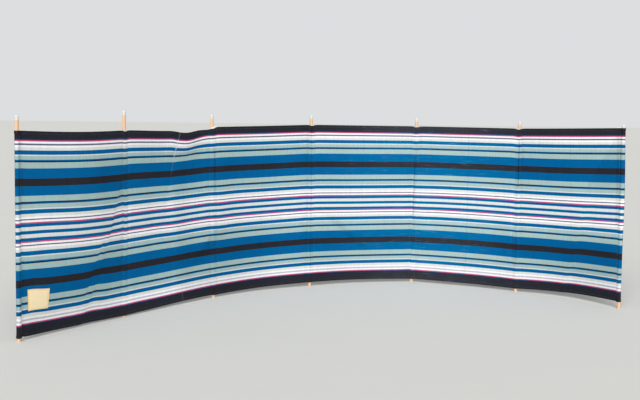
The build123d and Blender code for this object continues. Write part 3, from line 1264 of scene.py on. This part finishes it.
@dataclass
class Pocket(Sheet):
    """The strip sewn down the back of the cloth as a flat tube that holds an inner pole."""

    pole: int = 1
    allowance: float = 0.006
    tops: tuple = ((0.007, 0.002), (0.003, 0.009), (0.001, 0.001), (0.001, 0.001), (0.001, 0.001))
    top_reach: float = 0.030
    front_ply: float = 0.0015
    front_places: tuple = (0.019, 0.013, 0.007)
    back_ply: float = 0.0025
    hem_depth: float = 0.0016
    hem_ease: tuple = (0.25, 0.5, 0.25)
    hem: float = 0.018
    row_step: float = 0.016
    arc_steps: int = 13
    leg_steps: int = 3
    slack: float = 0.0007
    slack_waves: float = 23.0

    def __post_init__(self) -> None:
        """Works out level unit vectors to the pole's front and right, and the strip's rows."""
        row = self.row
        self.front = row.pole_front(self.pole)
        self.side = np.array([-self.front[1], self.front[0], 0.0])
        self.tall = row.cloth_height + max(self.tops[self.pole - 1])
        self.heights = np.linspace(0, self.tall, round(self.tall / self.row_step) + 1)
        self.rises = self.heights / row.cloth_height
        self.centre = row.axis(self.pole, self.heights + STANDS[self.pole].cloth_gap)

    def behind(self, off: float, depth: Array) -> Array:
        """Points behind the cloth, at a distance along it from the pole.

        Args:
            off: The distance, below 0 on the left bay.
            depth: How far behind the sheltered face, a value a row.

        Returns:
            The points.
        """
        row = self.row
        bay = self.pole if off >= 0 else self.pole - 1
        normal = row.front[bay] if off else self.front
        return row.cloth(bay, off / row.bay_length % 1.0, self.rises) - normal * depth[:, None]

    def front_columns(self, depth: Array) -> Array:
        """The ply between the pole and the cloth.

        Args:
            depth: How far behind the sheltered face, a value a row.

        Returns:
            A grid, from right to left.
        """
        right = np.array([self.row.pocket_seam + self.allowance, self.row.pocket_seam, *self.front_places])
        offs = np.concatenate([right, [0.0], -right[::-1]])
        columns = [self.behind(off, depth) for off in offs]
        near = len(right)
        columns[near] = (columns[near - 1] + columns[near + 1] + 2 * columns[near]) / 4
        for off, column in zip(offs, columns):
            column[:, 2] += self.row.notch(self.pole, abs(off), self.rises)
        return np.stack(columns, 1)

    def tube(self, *seams: Array) -> Array:
        """The part that goes round the pole's back, from one touching point to the other.

        Args:
            seams: Points of the left and the right seam.

        Returns:
            A grid, from left to right.
        """
        loose = self.slack * (0.5 + 0.5 * np.sin(self.heights * self.slack_waves + self.pole))
        radius = self.row.tube_radius + loose
        starts = []
        for seam, turn in zip(seams, (-1, 1)):
            span = seam - self.centre
            touch = np.arccos(np.minimum(radius / np.linalg.norm(span[:, :2], axis=1), 1.0))
            starts.append(np.arctan2(span @ self.side, span @ self.front) + turn * touch)
        shares = np.linspace(0, 1, self.arc_steps)
        angles = starts[0][:, None] + (starts[1] - TAU - starts[0])[:, None] * shares
        arc = self.front * np.cos(angles)[..., None] + self.side * np.sin(angles)[..., None]
        return self.centre[:, None] + arc * radius[:, None, None]

    def build(self) -> Object:
        """Makes the strip.

        Returns:
            The piece.
        """
        row = self.row
        inside = np.minimum(self.heights, row.cloth_height - self.heights)
        deeper = np.where(inside < self.hem, self.hem_depth, 0.0)
        deeper = np.convolve(np.pad(deeper, 1, mode="edge"), self.hem_ease, "valid")
        left, right = (
            [self.behind(turn * off, self.back_ply + deeper)
             for off in (row.pocket_seam + self.allowance, row.pocket_seam)]
            for turn in (-1, 1))
        arc = self.tube(left[1], right[1])
        grid = np.concatenate([
            left[0][:, None],
            left[1][:, None],
            blend_points(left[1], arc[:, 0], self.leg_steps),
            arc[:, 1:],
            blend_points(arc[:, -1], right[1], self.leg_steps),
            right[0][:, None],
            self.front_columns(self.front_ply + deeper),
        ], 1)
        self.cut_top(grid)
        across = distances(grid[len(grid) // 2])
        self.flat = (float(across[-1]), self.tall)
        places = flat_map(across, self.heights)
        return grid_piece(f"pocket_{self.pole + 1}", grid, places, row.ply, self.material)

    def cut_top(self, grid: Array) -> None:
        """Slants the strip's top edge, in place.

        Args:
            grid: The strip's points.
        """
        left_top, right_top = self.tops[self.pole - 1]
        reach = self.row.pocket_seam + self.allowance
        place = np.clip(((grid - self.centre[:, None]) @ self.side) / reach, -1, 1) * 0.5 + 0.5
        above = left_top + (right_top - left_top) * place
        weight = np.clip((self.heights[:, None] - self.tall + self.top_reach) / self.top_reach, 0, 1)
        grid[..., 2] -= (self.tall - self.row.cloth_height - above) * weight


@dataclass
class Patch(Sheet):
    """The plain patch sewn low on the first bay."""

    width: float = 0.154
    height: float = 0.130
    corners: tuple = ((0.0513, 0.1515), (0.2007, 0.1551), (0.2045, 0.2806), (0.0453, 0.2850))
    thickness: float = 0.0006
    proud: float = 0.0006
    seam: float = 0.005
    rim_lift: float = 0.0008
    puff: float = 0.0012
    puff_reach: float = 0.008
    columns: int = 43
    rows: int = 37

    def spots(self, across: Array, up: Array) -> Array:
        """Points of the cloth under the patch.

        Args:
            across: Shares of its width from its left edge.
            up: Shares of its height from its bottom edge.

        Returns:
            The points.
        """
        first, second, third, fourth = (np.array(corner) for corner in self.corners)
        across, up = (part[..., None] for part in np.broadcast_arrays(across, up))
        low, high = first * (1 - across) + second * across, fourth * (1 - across) + third * across
        at = low * (1 - up) + high * up
        return self.row.cloth(0, at[..., 0] / self.row.bay_length, at[..., 1] / self.row.cloth_height)

    def build(self) -> Object:
        """Makes the patch, puffed a little inside its stitches.

        Returns:
            The piece.
        """
        across, up = np.linspace(0, 1, self.columns), np.linspace(0, 1, self.rows)
        rim = np.minimum(
            np.minimum(across, 1 - across)[None, :] * self.width,
            np.minimum(up, 1 - up)[:, None] * self.height)
        lift = self.proud + self.puff * (1 - np.exp(-np.abs(rim - self.seam) / self.puff_reach))
        lift = np.where(rim < self.seam, self.proud + self.rim_lift * (self.seam - rim) / self.seam, lift)
        grid = self.spots(across[None, :], up[:, None]) + self.row.front[0] * lift[..., None]
        self.flat = (self.width, self.height)
        return grid_piece("patch", grid, flat_map(across, up), self.thickness, self.material)


@dataclass
class Lining(Sheet):
    """The pale strip behind the right end of the cloth, which stands a little above its edge."""

    depth: float = 0.060
    rise_above: float = 0.007
    width: float = 0.034
    behind: float = 0.0036
    thickness: float = 0.0006
    columns: int = 9
    rows: int = 9

    def build(self) -> Object:
        """Makes the strip.

        Returns:
            The piece.
        """
        row = self.row
        heights = row.cloth_height + np.linspace(-self.depth, self.rise_above, self.rows)
        shares = 1 - np.linspace(self.width, 0.0, self.columns) / row.bay_length
        grid = row.cloth(row.last, shares[None, :], (heights / row.cloth_height)[:, None])
        grid = grid - row.front[row.last] * self.behind
        across = distances(grid[0])
        self.flat = (float(across[-1]), self.depth + self.rise_above)
        return grid_piece("sleeve_lining", grid, flat_map(across, heights), self.thickness, self.material)


@dataclass
class Stitching:
    """Rows of sewing thread, each stitch a small closed lozenge that lies on the cloth."""

    cloth: Cloth
    patch: Patch
    pitch: float = 0.006
    patch_pitch: float = 0.0075
    length: float = 0.0036
    width: float = 0.0009
    proud: float = 0.0005
    beside: float = 0.003
    from_edge: float = 0.004
    hem_ends: float = 0.012
    pole_gap: float = 0.034
    run_step: float = 0.008
    run_points: int = 120
    patch_points: int = 24
    hem_from: float = 0.030
    hem_fade: float = 0.012
    patch_clear: float = 0.0001
    sleeve_rows: tuple = (0.003, 0.004)
    sleeve_plies: tuple = (1.2, 1.0)
    sharp_edge: float = 80.0

    def __post_init__(self) -> None:
        """Keeps the plan."""
        self.row = self.cloth.row

    def lozenges(self, points: Array, normals: Array, pitch: float) -> Array:
        """The corners of the stitches on one run.

        Args:
            points: Points along the run.
            normals: The cloth's normals there.
            pitch: The distance from stitch to stitch.

        Returns:
            Six corners for each stitch.
        """
        at = distances(points)
        begins = (np.arange(int(at[-1] / pitch)) + 0.5) * pitch - self.length / 2
        begin, end, normal = (
            np.stack([np.interp(places, at, values[:, axis]) for axis in range(3)], 1)
            for places, values in ((begins, points), (begins + self.length, points), (begins, normals)))
        side = np.cross(normal, end - begin)
        side = side / np.linalg.norm(side, axis=1, keepdims=True) * self.width / 2
        middle, over = (begin + end) / 2, normal * self.proud
        return np.stack([begin, middle + side, middle + over, middle - side, middle - over, end], 1)

    def sew(self, name: str, runs: list[Run], pitch: float, thread: Material) -> Object:
        """Makes one piece of all the stitches on some runs.

        Args:
            name: The piece's name.
            runs: Points along each run, and their normals.
            pitch: The distance from stitch to stitch.
            thread: The finish.

        Returns:
            The piece.
        """
        spots = np.concatenate([self.lozenges(*run, pitch) for run in runs])
        ring = ((1, 2), (2, 3), (3, 4), (4, 1))
        lozenge = np.array([(0, b, a) for a, b in ring] + [(5, a, b) for a, b in ring])
        faces = (lozenge[None] + 6 * np.arange(len(spots))[:, None, None]).reshape(-1, 3)
        piece = new_piece(name, spots, faces, thread)
        select_only(piece)
        bpy.ops.object.mode_set(mode="EDIT")
        bpy.ops.mesh.select_all(action="SELECT")
        bpy.ops.mesh.normals_make_consistent(inside=False)
        bpy.ops.object.mode_set(mode="OBJECT")
        smooth(piece, self.sharp_edge)
        return piece

    def level(self, begin: float, end: float, up: float) -> Run:
        """A run along the cloth."""
        across = np.linspace(begin, end, round((end - begin) / self.run_step))
        return self.cloth.surface(across, np.full(len(across), up))

    def hems(self) -> list[Run]:
        """The rows that hold the top and bottom hems, seen on both sides.

        Returns:
            The runs.
        """
        cloth, row, runs = self.cloth, self.row, []
        for up in (cloth.hem - self.beside, row.cloth_height - cloth.hem + self.beside):
            runs.append(self.level(self.hem_ends, row.bay_length * len(BAYS) - self.hem_ends, up))
            for bay in range(len(BAYS)):
                begin, end = bay * row.bay_length, (bay + 1) * row.bay_length
                points, normals = self.level(begin + self.pole_gap, end - self.pole_gap, up)
                runs.append((points - normals * (row.ply + cloth.hem_gap), -normals))
        return runs

    def pockets(self) -> list[Run]:
        """The rows that hold the pole pockets, seen on both sides.

        Returns:
            The runs.
        """
        row, runs = self.row, []
        up = np.linspace(self.from_edge, row.cloth_height - self.from_edge, self.run_points)
        inside = np.minimum(up, row.cloth_height - up)
        in_hem = np.clip((self.hem_from - inside) / self.hem_fade, 0, 1)
        depth = Pocket.back_ply + row.ply / 2 + in_hem * Pocket.hem_depth
        for pole in range(1, len(BAYS)):
            for turn in (-1, 1):
                across = pole * row.bay_length + turn * (row.pocket_seam + self.beside)
                points, normals = self.cloth.surface(np.full(len(up), across), up)
                runs += [(points, normals), (points - normals * depth[:, None], -normals)]
        return runs

    def sleeves(self) -> list[Run]:
        """The rows that close the end sleeves, seen on both sides.

        Returns:
            The runs.
        """
        row, runs = self.row, []
        rises = np.linspace(self.from_edge, 1 - self.from_edge, self.run_points)
        left, right = (inset / row.bay_length for inset in self.sleeve_rows)
        for bay, share in ((0, left), (row.last, 1 - right)):
            points = row.cloth(bay, share, rises)
            normals = np.broadcast_to(row.front[bay], points.shape)
            for plies, facing in zip(self.sleeve_plies, (1, -1)):
                runs.append((points + facing * normals * row.ply * plies, facing * normals))
        return runs

    def round_patch(self) -> list[Run]:
        """The row round the patch's rim.

        Returns:
            The runs.
        """
        patch, runs = self.patch, []
        near, wide, tall = patch.seam, patch.width - patch.seam, patch.height - patch.seam
        corners = ((near, near), (wide, near), (wide, tall), (near, tall))
        proud = patch.proud + patch.thickness / 2 + self.patch_clear
        for ends in zip(corners, corners[1:] + corners[:1]):
            x, y = (np.linspace(a, b, self.patch_points) for a, b in zip(*ends))
            points = patch.spots(x / patch.width, y / patch.height)
            normals = np.broadcast_to(self.row.front[0], points.shape)
            runs.append((points + normals * proud, normals))
        return runs


@dataclass
class Studio:
    """The pale floor, the soft light and the camera."""

    floor_size: float = 120.0
    sun_strength: float = 2.74
    sun_from: tuple = (4.0, 34.0)
    sun_spread: float = 50.0
    sky_color: Color = (1.0, 1.0, 1.0, 1.0)
    sky_strength: float = 0.42
    backdrop: Color = rgb(220, 222, 224)
    focal: float = 982.7
    picture_width: float = 640.0
    sensor: float = 36.0
    eye: tuple = (0.076, -7.761, 1.462)
    pitch: float = 5.650
    roll: float = 0.663

    def floor(self) -> None:
        """A large level floor, with a faint texture of its own."""
        select_only(None)
        bpy.ops.mesh.primitive_plane_add(size=self.floor_size, location=(0, 0, 0))
        floor = bpy.context.object
        floor.name = "floor"
        floor.data.materials.append(FLOOR_PAINT.make())

    def sun(self) -> None:
        """A broad soft lamp from the camera's left."""
        lamp = bpy.data.lights.new("soft_key", "SUN")
        lamp.energy = self.sun_strength
        lamp.angle = math.radians(self.sun_spread)
        side, height = (math.radians(x) for x in self.sun_from)
        level = math.cos(height)
        aim = Vector((-math.sin(side) * level, -math.cos(side) * level, math.sin(height)))
        self.stand(bpy.data.objects.new("soft_key", lamp), aim.to_track_quat("Z", "Y"))

    def sky(self) -> None:
        """An even sky, which the camera and reflections see as a pale backdrop."""
        world = bpy.data.worlds.new("even_sky")
        bpy.context.scene.world = world
        world.use_nodes = True
        sky = Nodes(world.node_tree)
        camera, glossy, through = (
            sky.node("LightPath", output=f"Is {ray} Ray") for ray in ("Camera", "Glossy", "Transmission"))
        even = sky.tree.nodes["Background"]
        sky.connect(even.inputs["Color"], self.sky_color)
        sky.connect(even.inputs["Strength"], self.sky_strength)
        seen = sky.node("Background", sockets={"Color": self.backdrop, "Strength": 1.0})
        shown = {0: camera.larger(glossy).larger(through), 1: Value(sky, even.outputs[0]), 2: seen}
        sky.connect(sky.tree.nodes["World Output"].inputs["Surface"], sky.node("MixShader", sockets=shown))

    def camera(self) -> None:
        """The camera, a little above the cloth's top edge and looking slightly down."""
        data = bpy.data.cameras.new("camera")
        data.sensor_fit = "HORIZONTAL"
        data.sensor_width = self.sensor
        data.lens = self.focal / self.picture_width * self.sensor
        down, tilt = math.radians(self.pitch), math.radians(self.roll)
        ahead = Vector((0, math.cos(down), -math.sin(down)))
        level = Vector((1, 0, 0))
        over = level.cross(ahead)
        right = level * math.cos(tilt) + over * math.sin(tilt)
        top = over * math.cos(tilt) - level * math.sin(tilt)
        camera = bpy.data.objects.new("camera", data)
        self.stand(camera, Matrix((right, top, -ahead)).transposed().to_quaternion())
        camera.location = self.eye
        bpy.context.scene.camera = camera

    def stand(self, thing: Object, turn: Quaternion) -> None:
        """Puts a lamp or the camera in the scene.

        Args:
            thing: The lamp or the camera.
            turn: How it is turned, as a quaternion.
        """
        bpy.context.scene.collection.objects.link(thing)
        thing.rotation_mode = "QUATERNION"
        thing.rotation_quaternion = turn


class Windbreak:
    """The whole windbreak."""

    def dress_poles(self) -> None:
        """Gives the poles and their caps their finishes."""
        wood, plastic = PoleWood().make(), CAP_PLASTIC.make()
        for name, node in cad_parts.items():
            if name.startswith("pole_") and not name.startswith("pole_pocket_"):
                node.data.materials.clear()
                node.data.materials.append(plastic if name.startswith("pole_cap_") else wood)
                log.info("dressed %s", name)

    def place(self, piece: Object, slot: Slot, *nodes: str) -> None:
        """Lets a piece ride with the part and stand for its CAD nodes.

        Args:
            piece: The piece.
            slot: Not used.
            nodes: The CAD nodes that it replaces.
        """
        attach(piece, ROOT)
        if nodes:
            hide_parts(*nodes)
        log.info("built %s, %d faces", piece.name, len(piece.data.polygons))

    def hang(self, sheet: Sheet, slot: Slot, rests_on: list[str], *nodes: str) -> None:
        """Builds a sheet and places it.

        Args:
            sheet: The sheet.
            slot: The record's slot of its finish.
            rests_on: Not used.
            nodes: The CAD nodes that it replaces.
        """
        piece = sheet.build()
        self.place(piece, slot, *nodes)

    def hang_cloth(self) -> None:
        """Builds the cloth, its pockets, its patch and its stitches."""
        row, tape = Row(), POCKET_TAPE.make()
        poles = [f"pole_{number + 1}" for number in range(len(STANDS))]
        bays = [f"cloth_bay_{bay + 1}" for bay in range(len(BAYS))]
        cloth = Cloth(row, StripedCanvas().make())
        self.hang(cloth, Slot.CLOTH, poles, *bays, "end_sleeve_left", "end_sleeve_right")
        for pole in range(1, len(STANDS) - 1):
            self.hang(Pocket(row, tape, pole=pole), Slot.POCKET, [poles[pole]], f"pole_pocket_{pole + 1}")
        patch = Patch(row, PatchCloth().make())
        self.hang(patch, Slot.PATCH, ["striped_cloth"], "label_patch")
        self.hang(Lining(row, tape), Slot.SLEEVE, ["striped_cloth"])
        sewing = Stitching(cloth, patch)
        for name, runs, pitch, thread, slot in (
                ("hem_stitches", sewing.hems(), sewing.pitch, "grey", Slot.CLOTH),
                ("pocket_stitches", sewing.pockets(), sewing.pitch, "blue", Slot.POCKET),
                ("sleeve_stitches", sewing.sleeves(), sewing.pitch, "pale", Slot.SLEEVE),
                ("patch_stitches", sewing.round_patch(), sewing.patch_pitch, "warm", Slot.PATCH)):
            self.place(sewing.sew(name, runs, pitch, THREADS[thread].make()), slot)


def main() -> None:
    """Builds the windbreak in its studio."""
    logging.basicConfig(level=logging.INFO, format="%(name)s: %(message)s")
    bpy.context.scene.view_settings.view_transform = "Standard"
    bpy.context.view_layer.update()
    windbreak = Windbreak()
    windbreak.dress_poles()
    windbreak.hang_cloth()
    studio = Studio()
    studio.floor()
    studio.sun()
    studio.sky()
    studio.camera()


if __name__ == "__main__":
    main()
